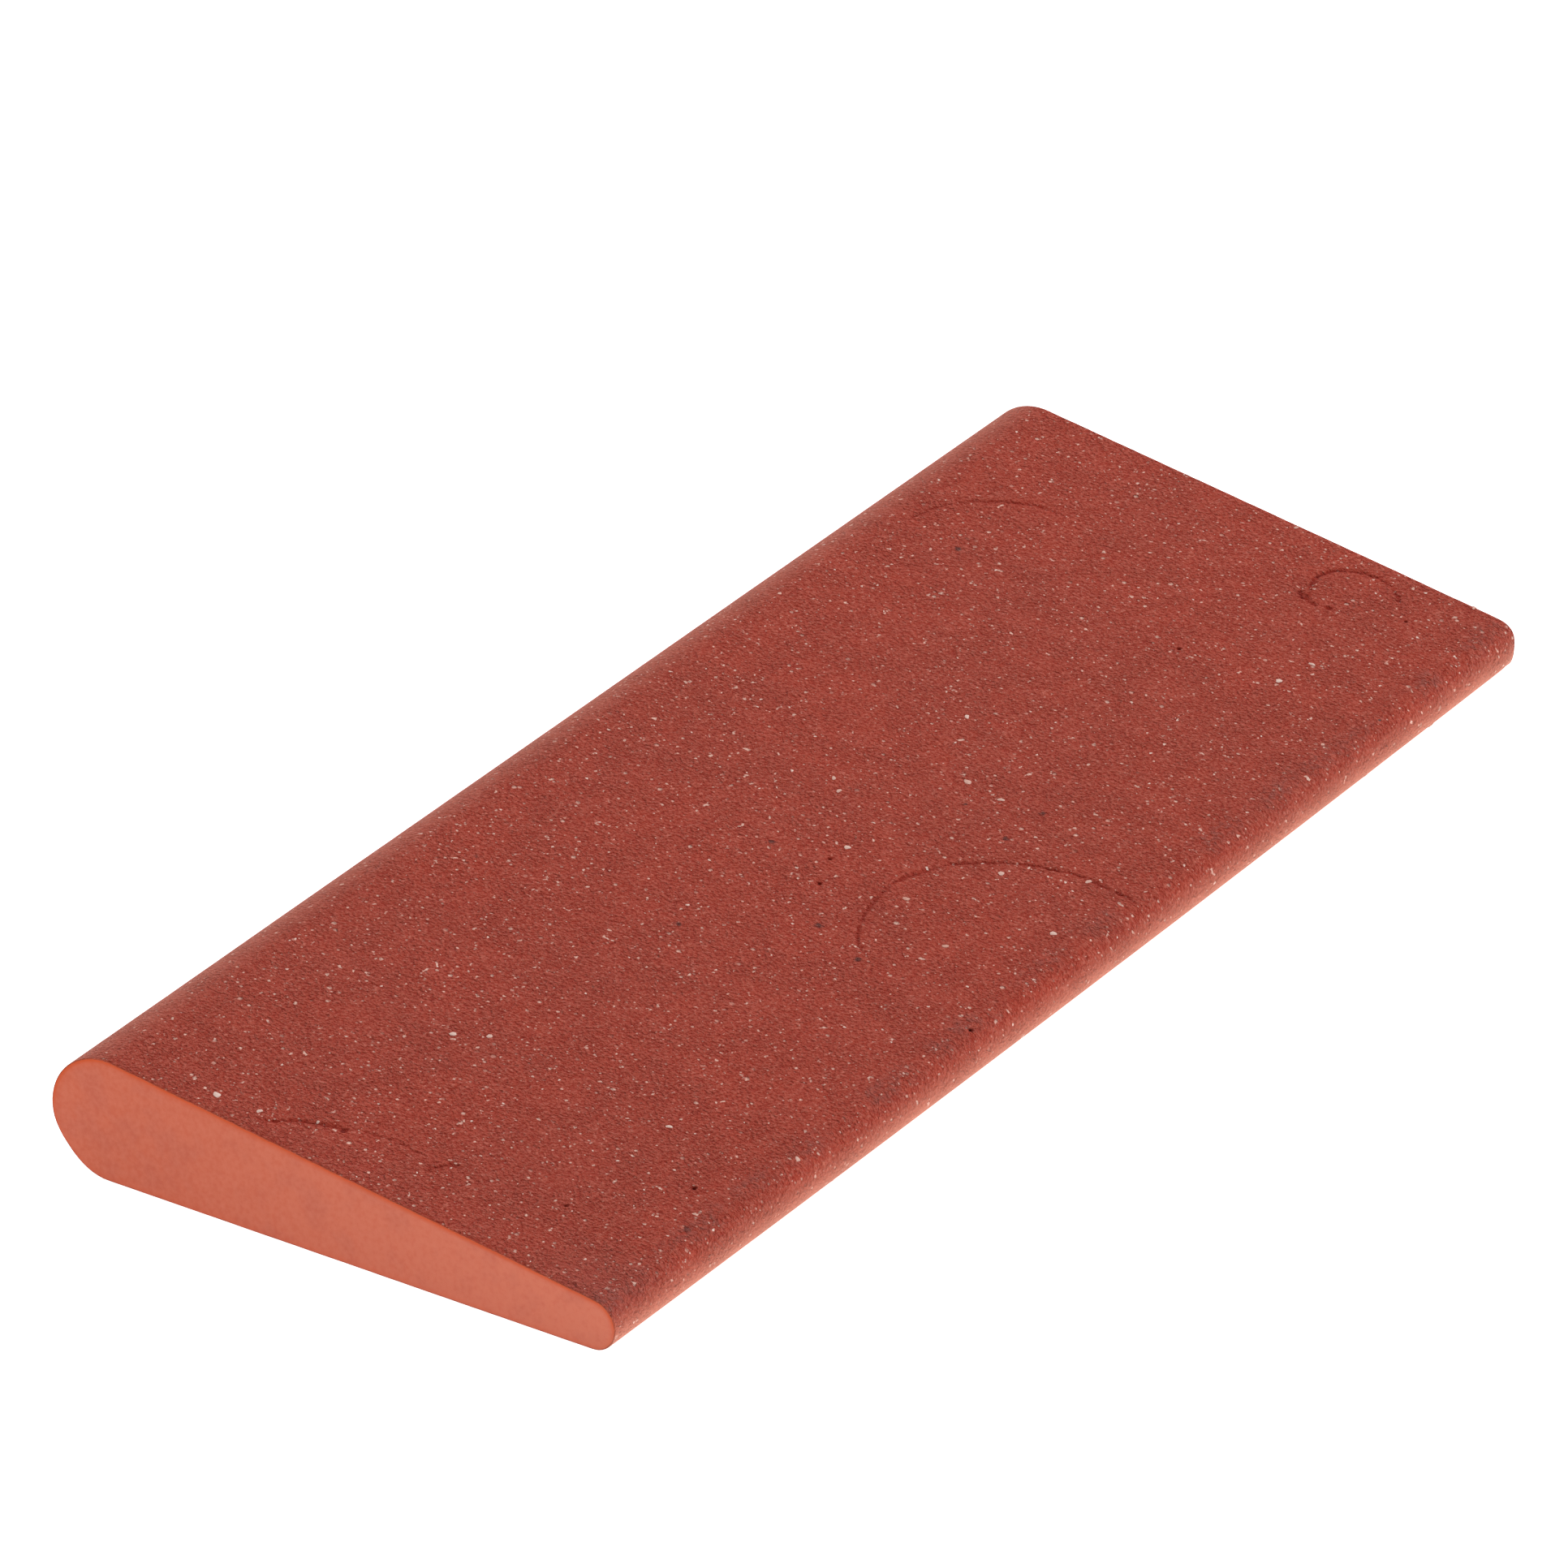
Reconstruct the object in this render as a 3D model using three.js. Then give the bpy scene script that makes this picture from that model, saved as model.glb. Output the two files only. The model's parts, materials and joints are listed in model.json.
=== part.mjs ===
// A tapered slip stone: one fired bar of bonded abrasive grit, held in the hand to hone an edge.
//
// Its section is a teardrop: a thick round back and a thin round edge, joined by two flat honing
// faces. The bar is one solid body, pressed and fired in one piece, with both ends sawn flat.
//
// Frame: the stone lies on its lower flat face. +X runs along the length, towards the far end.
// -Y is the side of the thin edge and +Y the side of the thick back. +Z is up, and the origin
// is under the middle of the stone, on the face that it lies on.
import * as THREE from "three";

// Driving dimensions, in millimetres and degrees.
const LENGTH = 100; // measured along the thick back, the longer of the two sides
const WIDTH = 40; // from the thin edge to the thick back
const BACK_RADIUS = 4.05; // the thick back is a half round of this radius
const EDGE_RADIUS = 1.7; // the thin edge is a half round of this radius
const ARRIS_RADIUS = 0.3; // the worn rounding where the sawn ends meet the long faces
const FAR_END_SKEW_DEG = 1; // the far end is sawn out of square, shorter at the thin edge

// How finely the round stretches are divided.
const ARC_DIVISIONS = 24; // for each of the two long round edges, before three.js doubles it
const ARRIS_DIVISIONS = 4;

// The two long half rounds, by the centre and radius that each has in the section.
const BACK = { y: WIDTH / 2 - BACK_RADIUS, z: BACK_RADIUS, radius: BACK_RADIUS };
const EDGE = { y: EDGE_RADIUS - WIDTH / 2, z: EDGE_RADIUS, radius: EDGE_RADIUS };

// Both faces touch both rounds, so the angle between them is twice the slope of the line
// through the two centres.
const TAPER = 2 * Math.atan2(BACK.z - EDGE.z, BACK.y - EDGE.y);

/** The teardrop outline, drawn with its lower face on the line y = 0 of the shape. */
function teardropSection() {
  const lowerFace = -Math.PI / 2; // the direction from a round's centre to the face it lies on
  const upperFace = Math.PI / 2 + TAPER; // and to the sloping face above
  const section = new THREE.Shape();
  section.absarc(BACK.y, BACK.z, BACK.radius, lowerFace, upperFace, false);
  section.absarc(EDGE.y, EDGE.z, EDGE.radius, upperFace, lowerFace + 2 * Math.PI, false);
  section.closePath();
  return section;
}

/** The section drawn out along z and centred on z = 0, with a rounded arris round each end. */
function pressedBar() {
  const bar = new THREE.ExtrudeGeometry(teardropSection(), {
    depth: LENGTH - 2 * ARRIS_RADIUS,
    curveSegments: ARC_DIVISIONS,
    bevelThickness: ARRIS_RADIUS,
    bevelSize: ARRIS_RADIUS,
    bevelOffset: -ARRIS_RADIUS,
    bevelSegments: ARRIS_DIVISIONS,
  });
  return bar.translate(0, 0, ARRIS_RADIUS - LENGTH / 2);
}

/** Leans the far end, arris and all, so that the bar is full length only along its back. */
function sawFarEnd(bar) {
  const lean = Math.tan(THREE.MathUtils.degToRad(FAR_END_SKEW_DEG));
  const points = bar.getAttribute("position");
  for (let i = 0; i < points.count; i++) {
    const along = points.getZ(i);
    if (along > 0) points.setZ(i, along - lean * (WIDTH / 2 - points.getX(i)));
  }
  bar.computeVertexNormals();
  return bar;
}

/** The whole stone, turned so that the section stands in the YZ plane and the length is X. */
function slipStone() {
  const firedAbrasive = new THREE.MeshStandardMaterial({
    color: "#b25a45",
    roughness: 0.9,
    metalness: 0,
  });
  const stone = new THREE.Mesh(sawFarEnd(pressedBar()), firedAbrasive);
  stone.name = "slip_stone";
  const acrossIsY = new THREE.Vector3(0, 1, 0);
  const upIsZ = new THREE.Vector3(0, 0, 1);
  const alongIsX = new THREE.Vector3(1, 0, 0);
  stone.setRotationFromMatrix(new THREE.Matrix4().makeBasis(acrossIsY, upIsZ, alongIsX));
  return stone;
}

const part = new THREE.Group();
part.add(slipStone());

export default part;
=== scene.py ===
"""A tapered slip stone, a hand-held honing stone of fired abrasive grit, built and dressed.

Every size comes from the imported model: its box, and the directions of its flat faces. The
stone's own shape, its wear and the grit in its skin are Geometry Nodes trees with named inputs,
and its finishes are procedural. Lengths in the code are metres, and MM turns a figure given in
millimetres into one.
"""

from __future__ import annotations

import json
import logging
import math
from dataclasses import dataclass
from enum import Enum
from typing import Any, Iterable, Optional, Sequence, Union

import bmesh
import bpy
import numpy as np
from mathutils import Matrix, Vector

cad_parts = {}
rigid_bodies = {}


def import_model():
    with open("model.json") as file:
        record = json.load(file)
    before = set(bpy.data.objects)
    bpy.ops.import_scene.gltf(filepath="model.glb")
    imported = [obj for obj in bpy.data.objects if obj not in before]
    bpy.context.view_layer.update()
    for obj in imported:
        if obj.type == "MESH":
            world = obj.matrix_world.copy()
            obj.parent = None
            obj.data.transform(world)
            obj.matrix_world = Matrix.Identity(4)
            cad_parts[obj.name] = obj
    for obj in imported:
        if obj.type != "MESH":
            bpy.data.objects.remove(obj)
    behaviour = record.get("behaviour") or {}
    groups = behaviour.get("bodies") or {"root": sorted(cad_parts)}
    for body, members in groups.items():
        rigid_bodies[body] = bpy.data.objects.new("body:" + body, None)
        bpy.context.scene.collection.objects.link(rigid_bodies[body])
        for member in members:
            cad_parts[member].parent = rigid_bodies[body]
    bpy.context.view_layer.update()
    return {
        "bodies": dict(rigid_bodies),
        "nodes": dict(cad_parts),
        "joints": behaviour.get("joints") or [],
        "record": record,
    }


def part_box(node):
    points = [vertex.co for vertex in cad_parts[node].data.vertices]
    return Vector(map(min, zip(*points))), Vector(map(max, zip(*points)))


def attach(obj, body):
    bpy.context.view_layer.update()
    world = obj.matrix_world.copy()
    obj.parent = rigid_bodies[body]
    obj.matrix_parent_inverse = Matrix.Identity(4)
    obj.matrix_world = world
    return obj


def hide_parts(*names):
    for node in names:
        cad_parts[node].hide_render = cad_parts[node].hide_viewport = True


MM = 0.001
HALF_TURN = math.pi
QUARTER_TURN = math.pi / 2
MERGE_DISTANCE = 1e-6

STONE_NODE = "slip_stone"
ROOT_BODY = "root"

# Attributes that the stone's mesh carries for its finish, each from 0 to 1.
SAWN = "sawn"  # 1 on the two sawn ends
ARRIS = "arris"  # 1 along the worn corner round each sawn end
# HOLLOW also says where the finish paints shade into the grooves and pits.
HOLLOW = "hollow"  # 1 at the bottom of a groove or a pit
TONE = "tone"  # a grain's own shade

Colour = tuple[float, float, float]
log = logging.getLogger("slip_stone")


# ---- Node graphs ----


class Field:
    """A node's output, with the ordinary operators, so that a rule reads as a formula."""

    def __init__(self, graph: Graph, socket: bpy.types.NodeSocket) -> None:
        """Wraps one output socket of a graph.

        Args:
            graph: The graph that the socket belongs to.
            socket: The output socket.
        """
        self.graph = graph
        self.socket = socket

    def __add__(self, other: Operand) -> Field:
        """The sum."""
        return self.graph.math("ADD", self, other)

    __radd__ = __add__

    def __sub__(self, other: Operand) -> Field:
        """The difference."""
        return self.graph.math("SUBTRACT", self, other)

    def __rsub__(self, other: Operand) -> Field:
        """The difference, taken from a plain number."""
        return self.graph.math("SUBTRACT", other, self)

    def __mul__(self, other: Operand) -> Field:
        """The product."""
        return self.graph.math("MULTIPLY", self, other)

    __rmul__ = __mul__

    def __truediv__(self, other: Operand) -> Field:
        """The quotient."""
        return self.graph.math("DIVIDE", self, other)

    def __pow__(self, other: Operand) -> Field:
        """The power."""
        return self.graph.math("POWER", self, other)

    def __abs__(self) -> Field:
        """The size without its sign."""
        return self.graph.math("ABSOLUTE", self)

    def sin(self) -> Field:
        """The sine."""
        return self.graph.math("SINE", self)

    def cos(self) -> Field:
        """The cosine."""
        return self.graph.math("COSINE", self)

    def above(self, limit: Operand) -> Field:
        """1 where the value is over the limit, and 0 elsewhere."""
        return self.graph.math("GREATER_THAN", self, limit)

    def most(self, other: Operand) -> Field:
        """The larger of the two."""
        return self.graph.math("MAXIMUM", self, other)


Operand = Union[Field, float, Sequence[float]]


class Graph:
    """A node tree, with short ways to add the nodes that the stone's rules use."""

    def __init__(self, tree: bpy.types.NodeTree) -> None:
        """Starts on an existing tree.

        Args:
            tree: The geometry, shader or world tree to build in.
        """
        self.tree = tree

    def node(self, kind: str, **settings: Any) -> bpy.types.Node:
        """Adds a node.

        Args:
            kind: The node's type.
            **settings: Properties to set on the node itself.

        Returns:
            The new node.
        """
        made = self.tree.nodes.new(kind)
        for name, value in settings.items():
            setattr(made, name, value)
        return made

    def feed(self, socket: bpy.types.NodeSocket, value: Any) -> None:
        """Links a field to an input socket, or sets the socket's own value.

        Args:
            socket: The input socket.
            value: A field, or a plain value of the socket's type.
        """
        if isinstance(value, Field):
            self.tree.links.new(value.socket, socket)
        else:
            socket.default_value = value

    def out(self, node: bpy.types.Node, output: Union[str, int] = 0) -> Field:
        """An output of a node, as a field."""
        return Field(self, node.outputs[output])

    def call(self, kind: str, inputs: dict, output: Union[str, int] = 0, **settings: Any) -> Field:
        """Adds a node, feeds its inputs and gives one of its outputs.

        Args:
            kind: The node's type.
            inputs: Input name or number to a field or plain value.
            output: The output's name or number.
            **settings: Properties to set on the node itself.

        Returns:
            The output, as a field.
        """
        made = self.node(kind, **settings)
        for name, value in inputs.items():
            self.feed(made.inputs[name], value)
        return self.out(made, output)

    def math(self, operation: str, *operands: Operand) -> Field:
        """One step of arithmetic on plain numbers."""
        inputs = dict(enumerate(operands))
        return self.call("ShaderNodeMath", inputs, operation=operation)

    def vector_math(self, operation: str, *operands: Operand, output: int = 0) -> Field:
        """One step of arithmetic on vectors, whose numeric results are output 1."""
        inputs = dict(enumerate(operands))
        return self.call("ShaderNodeVectorMath", inputs, output, operation=operation)

    def scaled(self, vector: Field, factor: Operand) -> Field:
        """A vector times a number."""
        return self.call("ShaderNodeVectorMath", {0: vector, "Scale": factor}, operation="SCALE")

    def distance(self, place: Field, other: Operand) -> Field:
        """How far apart two points are."""
        return self.vector_math("DISTANCE", place, other, output=1)

    def vector(self, x: Operand, y: Operand, z: Operand) -> Field:
        """A vector from its three parts."""
        return self.call("ShaderNodeCombineXYZ", {0: x, 1: y, 2: z})

    def parts(self, vector: Field) -> tuple[Field, Field, Field]:
        """The three parts of a vector."""
        split = self.node("ShaderNodeSeparateXYZ")
        self.feed(split.inputs[0], vector)
        return self.out(split, 0), self.out(split, 1), self.out(split, 2)

    def ramp(
        self,
        value: Field,
        start: Operand,
        end: Operand,
        to: tuple[Operand, Operand] = (0.0, 1.0),
        soft: bool = False,
    ) -> Field:
        """Turns the range from start to end into another, and holds it past both ends.

        Args:
            value: The value that is mapped.
            start: Where the range starts.
            end: Where it ends.
            to: What the start and the end become.
            soft: Whether the ramp eases in and out.

        Returns:
            The mapped value.
        """
        return self.call(
            "ShaderNodeMapRange",
            {"Value": value, "From Min": start, "From Max": end, "To Min": to[0], "To Max": to[1]},
            interpolation_type="SMOOTHSTEP" if soft else "LINEAR",
        )

    def noise(
        self, place: Field, size: float, detail: float = 2.0, shift: float = 0.0, rough: float = 0.5
    ) -> Field:
        """Smooth noise from 0 to 1, centred on a half.

        Args:
            place: The point that is looked up.
            size: The width of its largest lumps, in metres.
            detail: How many finer layers lie on them.
            shift: Moves the pattern, so that two noises of a size differ.
            rough: How strong each finer layer is.

        Returns:
            The noise.
        """
        moved = self.vector_math("ADD", place, (shift, shift, shift)) if shift else place
        inputs = {"Vector": moved, "Scale": 1 / size, "Detail": detail, "Roughness": rough}
        return self.call("ShaderNodeTexNoise", inputs)

    def cells(self, place: Field, size: float) -> tuple[Field, Field]:
        """Scattered points, about a cell's size apart.

        Args:
            place: The point that is looked up.
            size: The width of a cell, in metres.

        Returns:
            The distance to the nearest scattered point, in metres, and that point's own random
            number from 0 to 1.
        """
        scatter = self.node("ShaderNodeTexVoronoi")
        self.feed(scatter.inputs["Vector"], place)
        scatter.inputs["Scale"].default_value = 1 / size
        own = self.parts(self.out(scatter, "Color"))[0]
        return self.out(scatter, "Distance") * size, own

    def blend(self, share: Operand, first: Any, second: Any) -> Field:
        """A colour between two others.

        Args:
            share: 0 gives the first and 1 the second.
            first: A field or a plain colour.
            second: A field or a plain colour.

        Returns:
            The mixed colour.
        """
        mixed = self.node("ShaderNodeMix", data_type="RGBA")
        self.feed(mixed.inputs[0], share)
        for socket, colour in ((mixed.inputs[6], first), (mixed.inputs[7], second)):
            self.feed(socket, colour if isinstance(colour, Field) else (*colour, 1.0))
        return self.out(mixed, 2)

    def group(self, tree: bpy.types.NodeTree, **inputs: Any) -> Field:
        """Adds a node group and gives its first output.

        Args:
            tree: The group's own tree.
            **inputs: Input name, with _ for a space, to a field or plain value.

        Returns:
            The group's first output.
        """
        kind = "GeometryNodeGroup" if tree.type == "GEOMETRY" else "ShaderNodeGroup"
        made = self.node(kind, node_tree=tree)
        for name, value in inputs.items():
            self.feed(made.inputs[name.replace("_", " ")], value)
        return self.out(made)


class GeometryTree(Graph):
    """A Geometry Nodes tree with named inputs, which can be run on a mesh."""

    SOCKETS = {
        float: "NodeSocketFloat",
        int: "NodeSocketInt",
        bpy.types.Object: "NodeSocketObject",
        bpy.types.Material: "NodeSocketMaterial",
    }

    def __init__(self, name: str, gives: str = "Geometry") -> None:
        """Makes an empty tree.

        Args:
            name: The tree's name.
            gives: What it gives, Geometry for a tree that is run on a mesh, or the name of the
                number that a group of rules works out.
        """
        super().__init__(bpy.data.node_groups.new(name, "GeometryNodeTree"))
        shape = "NodeSocketGeometry" if gives == "Geometry" else "NodeSocketFloat"
        if gives == "Geometry":
            self.tree.interface.new_socket("Geometry", in_out="INPUT", socket_type=shape)
        self.tree.interface.new_socket(gives, in_out="OUTPUT", socket_type=shape)
        self.entry = self.node("NodeGroupInput")
        self.exit = self.node("NodeGroupOutput")
        self.values: dict[str, Any] = {}

    def input(self, name: str, value: Any) -> Field:
        """Adds a named input.

        Args:
            name: The input's name.
            value: What the tree is run with, which also gives the input's type.

        Returns:
            The input, as a field.
        """
        kind = next(socket for known, socket in self.SOCKETS.items() if isinstance(value, known))
        made = self.tree.interface.new_socket(name, in_out="INPUT", socket_type=kind)
        self.values[made.identifier] = value
        return self.out(self.entry, name)

    def place(self) -> Field:
        """Where each point is."""
        return self.out(self.node("GeometryNodeInputPosition"))

    def normal(self) -> Field:
        """Which way the surface faces at each point."""
        return self.out(self.node("GeometryNodeInputNormal"))

    def attribute(self, name: str) -> Field:
        """A number stored on each point."""
        return self.call("GeometryNodeInputNamedAttribute", {"Name": name}, data_type="FLOAT")

    def store(self, geometry: Field, name: str, value: Operand, domain: str = "POINT") -> Field:
        """Stores a number on each point, or on each instance.

        Args:
            geometry: What it is stored on.
            name: The attribute's name.
            value: The number.
            domain: POINT or INSTANCE.

        Returns:
            The geometry with the attribute.
        """
        inputs = {"Geometry": geometry, "Name": name, "Value": value}
        return self.call(
            "GeometryNodeStoreNamedAttribute", inputs, data_type="FLOAT", domain=domain
        )

    def random(self, low: float, high: float, seed: int) -> Field:
        """A different number for each point, from low to high."""
        inputs = {2: low, 3: high, "Seed": seed}
        return self.call("FunctionNodeRandomValue", inputs, 1, data_type="FLOAT")

    def finish(self, geometry: Field, material: Field, smooth: bool = True) -> None:
        """Ends the tree: instances become real, and the result is shaded and gets its material.

        Args:
            geometry: The finished shape.
            material: The material input.
            smooth: Whether its faces are shaded smooth.
        """
        real = self.call("GeometryNodeRealizeInstances", {"Geometry": geometry})
        shaded = self.call("GeometryNodeSetShadeSmooth", {0: real, "Shade Smooth": smooth})
        dressed = self.call("GeometryNodeSetMaterial", {"Geometry": shaded, "Material": material})
        self.feed(self.exit.inputs[0], dressed)

    def run(self, name: str, mesh: Optional[bpy.types.Mesh] = None) -> bpy.types.Mesh:
        """Runs the tree and gives the result as a plain mesh.

        Args:
            name: The name of the mesh that is made.
            mesh: The mesh that the tree starts from, or None for an empty one.

        Returns:
            The new mesh, with no modifier left on anything.
        """
        carrier = bpy.data.objects.new(name, mesh or bpy.data.meshes.new(name))
        bpy.context.scene.collection.objects.link(carrier)
        modifier = carrier.modifiers.new(self.tree.name, "NODES")
        modifier.node_group = self.tree
        for identifier, value in self.values.items():
            modifier[identifier] = value
        graph = bpy.context.evaluated_depsgraph_get()
        made = bpy.data.meshes.new_from_object(
            carrier.evaluated_get(graph), preserve_all_data_layers=True, depsgraph=graph
        )
        bpy.data.objects.remove(carrier)
        made.name = name
        return made


# ---- The stone's sizes ----


@dataclass(frozen=True)
class Section:
    """The stone's driving sizes: a teardrop section and its length.

    Attributes:
        length: Along the thick back.
        width: From the thin edge to the thick back.
        back_radius: The radius of the thick round back.
        edge_radius: The radius of the thin round edge.
        taper: The angle between the two flat faces, in radians.
        lean: How far the far end is out of square, in radians.
    """

    length: float
    width: float
    back_radius: float
    edge_radius: float
    taper: float
    lean: float

    @classmethod
    def from_frame(cls, frame: dict) -> Section:
        """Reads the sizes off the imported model.

        The back is as thick as the model is high. The rounds touch both flat faces, so the
        taper and the width give the smaller radius.


        Returns:
            The stone's sizes.
        """
        low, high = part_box(STONE_NODE)
        size = high - low
        axis = {m["name"]: Vector(m["axis"]) for m in frame["record"]["mounts"]}
        top, end = axis["honing_face"], axis["far_end_face"]
        taper = math.atan2(-top.y, top.z)
        slope = math.tan(taper / 2)
        back = size.z / 2
        return cls(
            length=size.x,
            width=size.y,
            back_radius=back,
            edge_radius=(back - slope * (size.y - back)) / (1 - slope),
            taper=taper,
            lean=math.atan2(-end.y, end.x),
        )

    @property
    def back_y(self) -> float:
        """Where the centre of the thick round is, across the stone."""
        return self.width / 2 - self.back_radius

    @property
    def edge_y(self) -> float:
        """Where the centre of the thin round is, across the stone."""
        return self.edge_radius - self.width / 2

    def top(self, x: float, y: float) -> Vector:
        """The point on the upper side of the stone over a place on its plan.

        Args:
            x: Along the stone.
            y: Across it.

        Returns:
            The point on the upper flat face, or on the round past the end of that face.
        """
        turn = math.sin(self.taper)
        for centre, radius, side in (
            (self.back_y, self.back_radius, 1),
            (self.edge_y, self.edge_radius, -1),
        ):
            if side * (y - centre + turn * radius) > 0:
                return Vector((x, y, radius + math.sqrt(max(radius**2 - (y - centre) ** 2, 0))))
        seat = self.back_radius * (1 + math.cos(self.taper))
        rise = math.tan(self.taper) * (y - self.back_y + turn * self.back_radius)
        return Vector((x, y, seat + rise))


# ---- Marks in the skin ----


class Trace(Enum):
    """How whole a ring mark is, by the share of its length that is missing."""

    WHOLE = 0.0
    FAINT = 0.36
    WORN = 0.44


@dataclass(frozen=True)
class RingMark:
    """A hairline crescent pressed in the upper face, part of a circle on the plan.

    Attributes:
        x: The circle's centre along the stone, in millimetres.
        y: The centre across the stone, in millimetres.
        radius: The circle's radius, in millimetres.
        start: Where the mark starts, in degrees from +X towards +Y.
        sweep: How far it runs from there, in degrees.
        half_width: Half the groove's width, in millimetres.
        depth: The groove's depth, in millimetres.
        trace: How whole it is.
    """

    x: float
    y: float
    radius: float
    start: float
    sweep: float
    half_width: float
    depth: float
    trace: Trace

    def near(self, places: np.ndarray, reach: float) -> np.ndarray:
        """Which points lie close to the mark.

        Args:
            places: Points as rows, in metres.
            reach: How close counts, in metres.

        Returns:
            True for each point that is close.
        """
        across = places[:, :2] - np.array([self.x, self.y]) * MM
        off = np.abs(np.hypot(across[:, 0], across[:, 1]) - self.radius * MM)
        turned = (np.degrees(np.arctan2(across[:, 1], across[:, 0])) - self.start) % 360
        return (off < reach) & (turned < self.sweep + 3)


@dataclass(frozen=True)
class Spot:
    """A small round place in the skin.

    Attributes:
        x: Its place along the stone, in millimetres.
        y: Its place across the stone, in millimetres.
        radius: Its radius, in millimetres.
    """

    x: float
    y: float
    radius: float


@dataclass(frozen=True)
class Pit(Spot):
    """A hole where a grain has dropped out.

    Attributes:
        depth: Its depth, in millimetres.
    """

    depth: float = 0.2


@dataclass(frozen=True)
class IronSpot(Spot):
    """A dark stain, where a speck of iron has burnt out."""


RING_MARKS = (
    RingMark(-3.2, -16.8, 9.65, -14, 148, half_width=0.2, depth=0.1, trace=Trace.FAINT),
    RingMark(45.1, -10.2, 2.75, -65, 190, half_width=0.26, depth=0.12, trace=Trace.FAINT),
    RingMark(44.6, -8.9, 2.1, 130, 62, half_width=0.28, depth=0.12, trace=Trace.FAINT),
    RingMark(32.7, 7.4, 7.3, 2, 90, half_width=0.2, depth=0.085, trace=Trace.FAINT),
    RingMark(-56.9, -2.5, 11.8, 19, 30, half_width=0.24, depth=0.1, trace=Trace.WHOLE),
    RingMark(-53.3, -1.9, 8.3, -10, 34, half_width=0.2, depth=0.055, trace=Trace.FAINT),
    RingMark(-46.1, -5.7, 1.7, 20, 75, half_width=0.22, depth=0.08, trace=Trace.WHOLE),
    RingMark(-12.0, 12.2, 7.7, 205, 60, half_width=0.15, depth=0.035, trace=Trace.WORN),
    RingMark(-13.8, 8.0, 6.8, 22, 40, half_width=0.15, depth=0.035, trace=Trace.WORN),
    RingMark(-31.1, -21.3, 5.6, 66, 36, half_width=0.15, depth=0.035, trace=Trace.WHOLE),
    RingMark(41.9, -10.9, 0.9, 75, 80, half_width=0.14, depth=0.04, trace=Trace.WHOLE),
)
PITS = (
    Pit(-5.3, -3.9, 0.2),
    Pit(-2.7, -2.9, 0.18),
    Pit(32.1, -5.6, 0.2),
    Pit(-36.8, -16.2, 0.22),
    Pit(-43.4, -11.8, 0.15),
    Pit(-11.9, -19.0, 0.2),
    Pit(-46.1, 1.9, 0.36, depth=0.12),
    Pit(42.7, -9.9, 0.36, depth=0.11),
    Pit(43.0, -8.1, 0.26, depth=0.11),
    Pit(44.8, -14.2, 0.14),
)
IRON_SPOTS = (
    IronSpot(-9.1, -6.4, 0.38),
    IronSpot(-10.5, -10.1, 0.34),
    IronSpot(6.6, -9.4, 0.32),
    IronSpot(-3.6, 0.6, 0.3),
    IronSpot(-14.9, -0.2, 0.3),
    IronSpot(8.1, -5.6, 0.2),
    IronSpot(-40.5, -18.2, 0.4),
    IronSpot(32.0, 10.6, 0.3),
)
LARGE_GRAINS = (
    (-33.7, 2.9), (-32.7, -11.7), (-32.4, 1.2), (-48.3, 9.3), (-47.9, 6.5),
    (16.3, -0.3), (10.0, -6.9), (4.8, 1.8), (3.9, 0.8), (-0.9, -3.0),
    (10.2, -4.3), (3.2, -11.3), (-5.7, -13.1), (6.2, -15.6), (-3.1, -8.6),
    (0.0, -17.1), (33.3, -12.1), (36.4, -12.6),
)


def ring_mark_rule() -> bpy.types.NodeTree:
    """Makes the group that says how deep one ring mark is at each point.

    Returns:
        The group's tree.
    """
    rule = GeometryTree("ring_mark", gives="Depth")
    centre_x, centre_y = rule.input("Centre X", 0.0), rule.input("Centre Y", 0.0)
    radius = rule.input("Radius", 1.0)
    start, sweep = rule.input("Start", 0.0), rule.input("Sweep", 1.0)
    half_width, depth = rule.input("Half Width", 1.0), rule.input("Depth", 1.0)
    missing = rule.input("Missing", 0.0)

    place = rule.place()
    x, y, _ = rule.parts(place)
    from_x, from_y = x - centre_x, y - centre_y
    wander = (rule.noise(place, 2.2 * MM, 1.0) - 0.5) * (0.5 * MM)
    ragged = (rule.noise(place, 0.3 * MM, 2.0, shift=0.3) - 0.5) * (0.4 * MM)
    reach = (from_x**2.0 + from_y**2.0) ** 0.5
    off = abs(reach - radius + wander + ragged)
    turned = rule.math("WRAP", rule.math("ARCTAN2", from_y, from_x) - start, 2 * math.pi, 0.0)
    fade = 0.12
    along = rule.ramp(turned, 0.0, fade, soft=True) * rule.ramp(
        turned, sweep - fade, sweep, to=(1.0, 0.0), soft=True
    )
    patchy = rule.noise(place, 0.9 * MM, 3.0, shift=0.7)
    kept = rule.ramp(patchy, missing - 0.08, missing + 0.16, soft=True)
    groove = rule.ramp(off, 0.0, half_width, to=(1.0, 0.0), soft=True)
    upward = rule.parts(rule.normal())[2].above(0.3)
    rule.feed(rule.exit.inputs[0], groove * along * kept * upward * depth)
    return rule.tree


def pit_rule() -> bpy.types.NodeTree:
    """Makes the group that says how deep one pit is at each point.

    Returns:
        The group's tree.
    """
    rule = GeometryTree("pit", gives="Depth")
    x, y, z = (rule.input(f"Centre {axis}", 0.0) for axis in "XYZ")
    radius, depth = rule.input("Radius", 1.0), rule.input("Depth", 1.0)
    place = rule.place()
    uneven = (rule.noise(place, 0.25 * MM, 1.0) - 0.5) * (0.12 * MM)
    off = rule.distance(place, rule.vector(x, y, z)) + uneven
    bowl = rule.ramp(off, radius * 0.35, radius, to=(1.0, 0.0), soft=True)
    rule.feed(rule.exit.inputs[0], bowl * depth)
    return rule.tree


# ---- The stone's body ----


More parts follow.
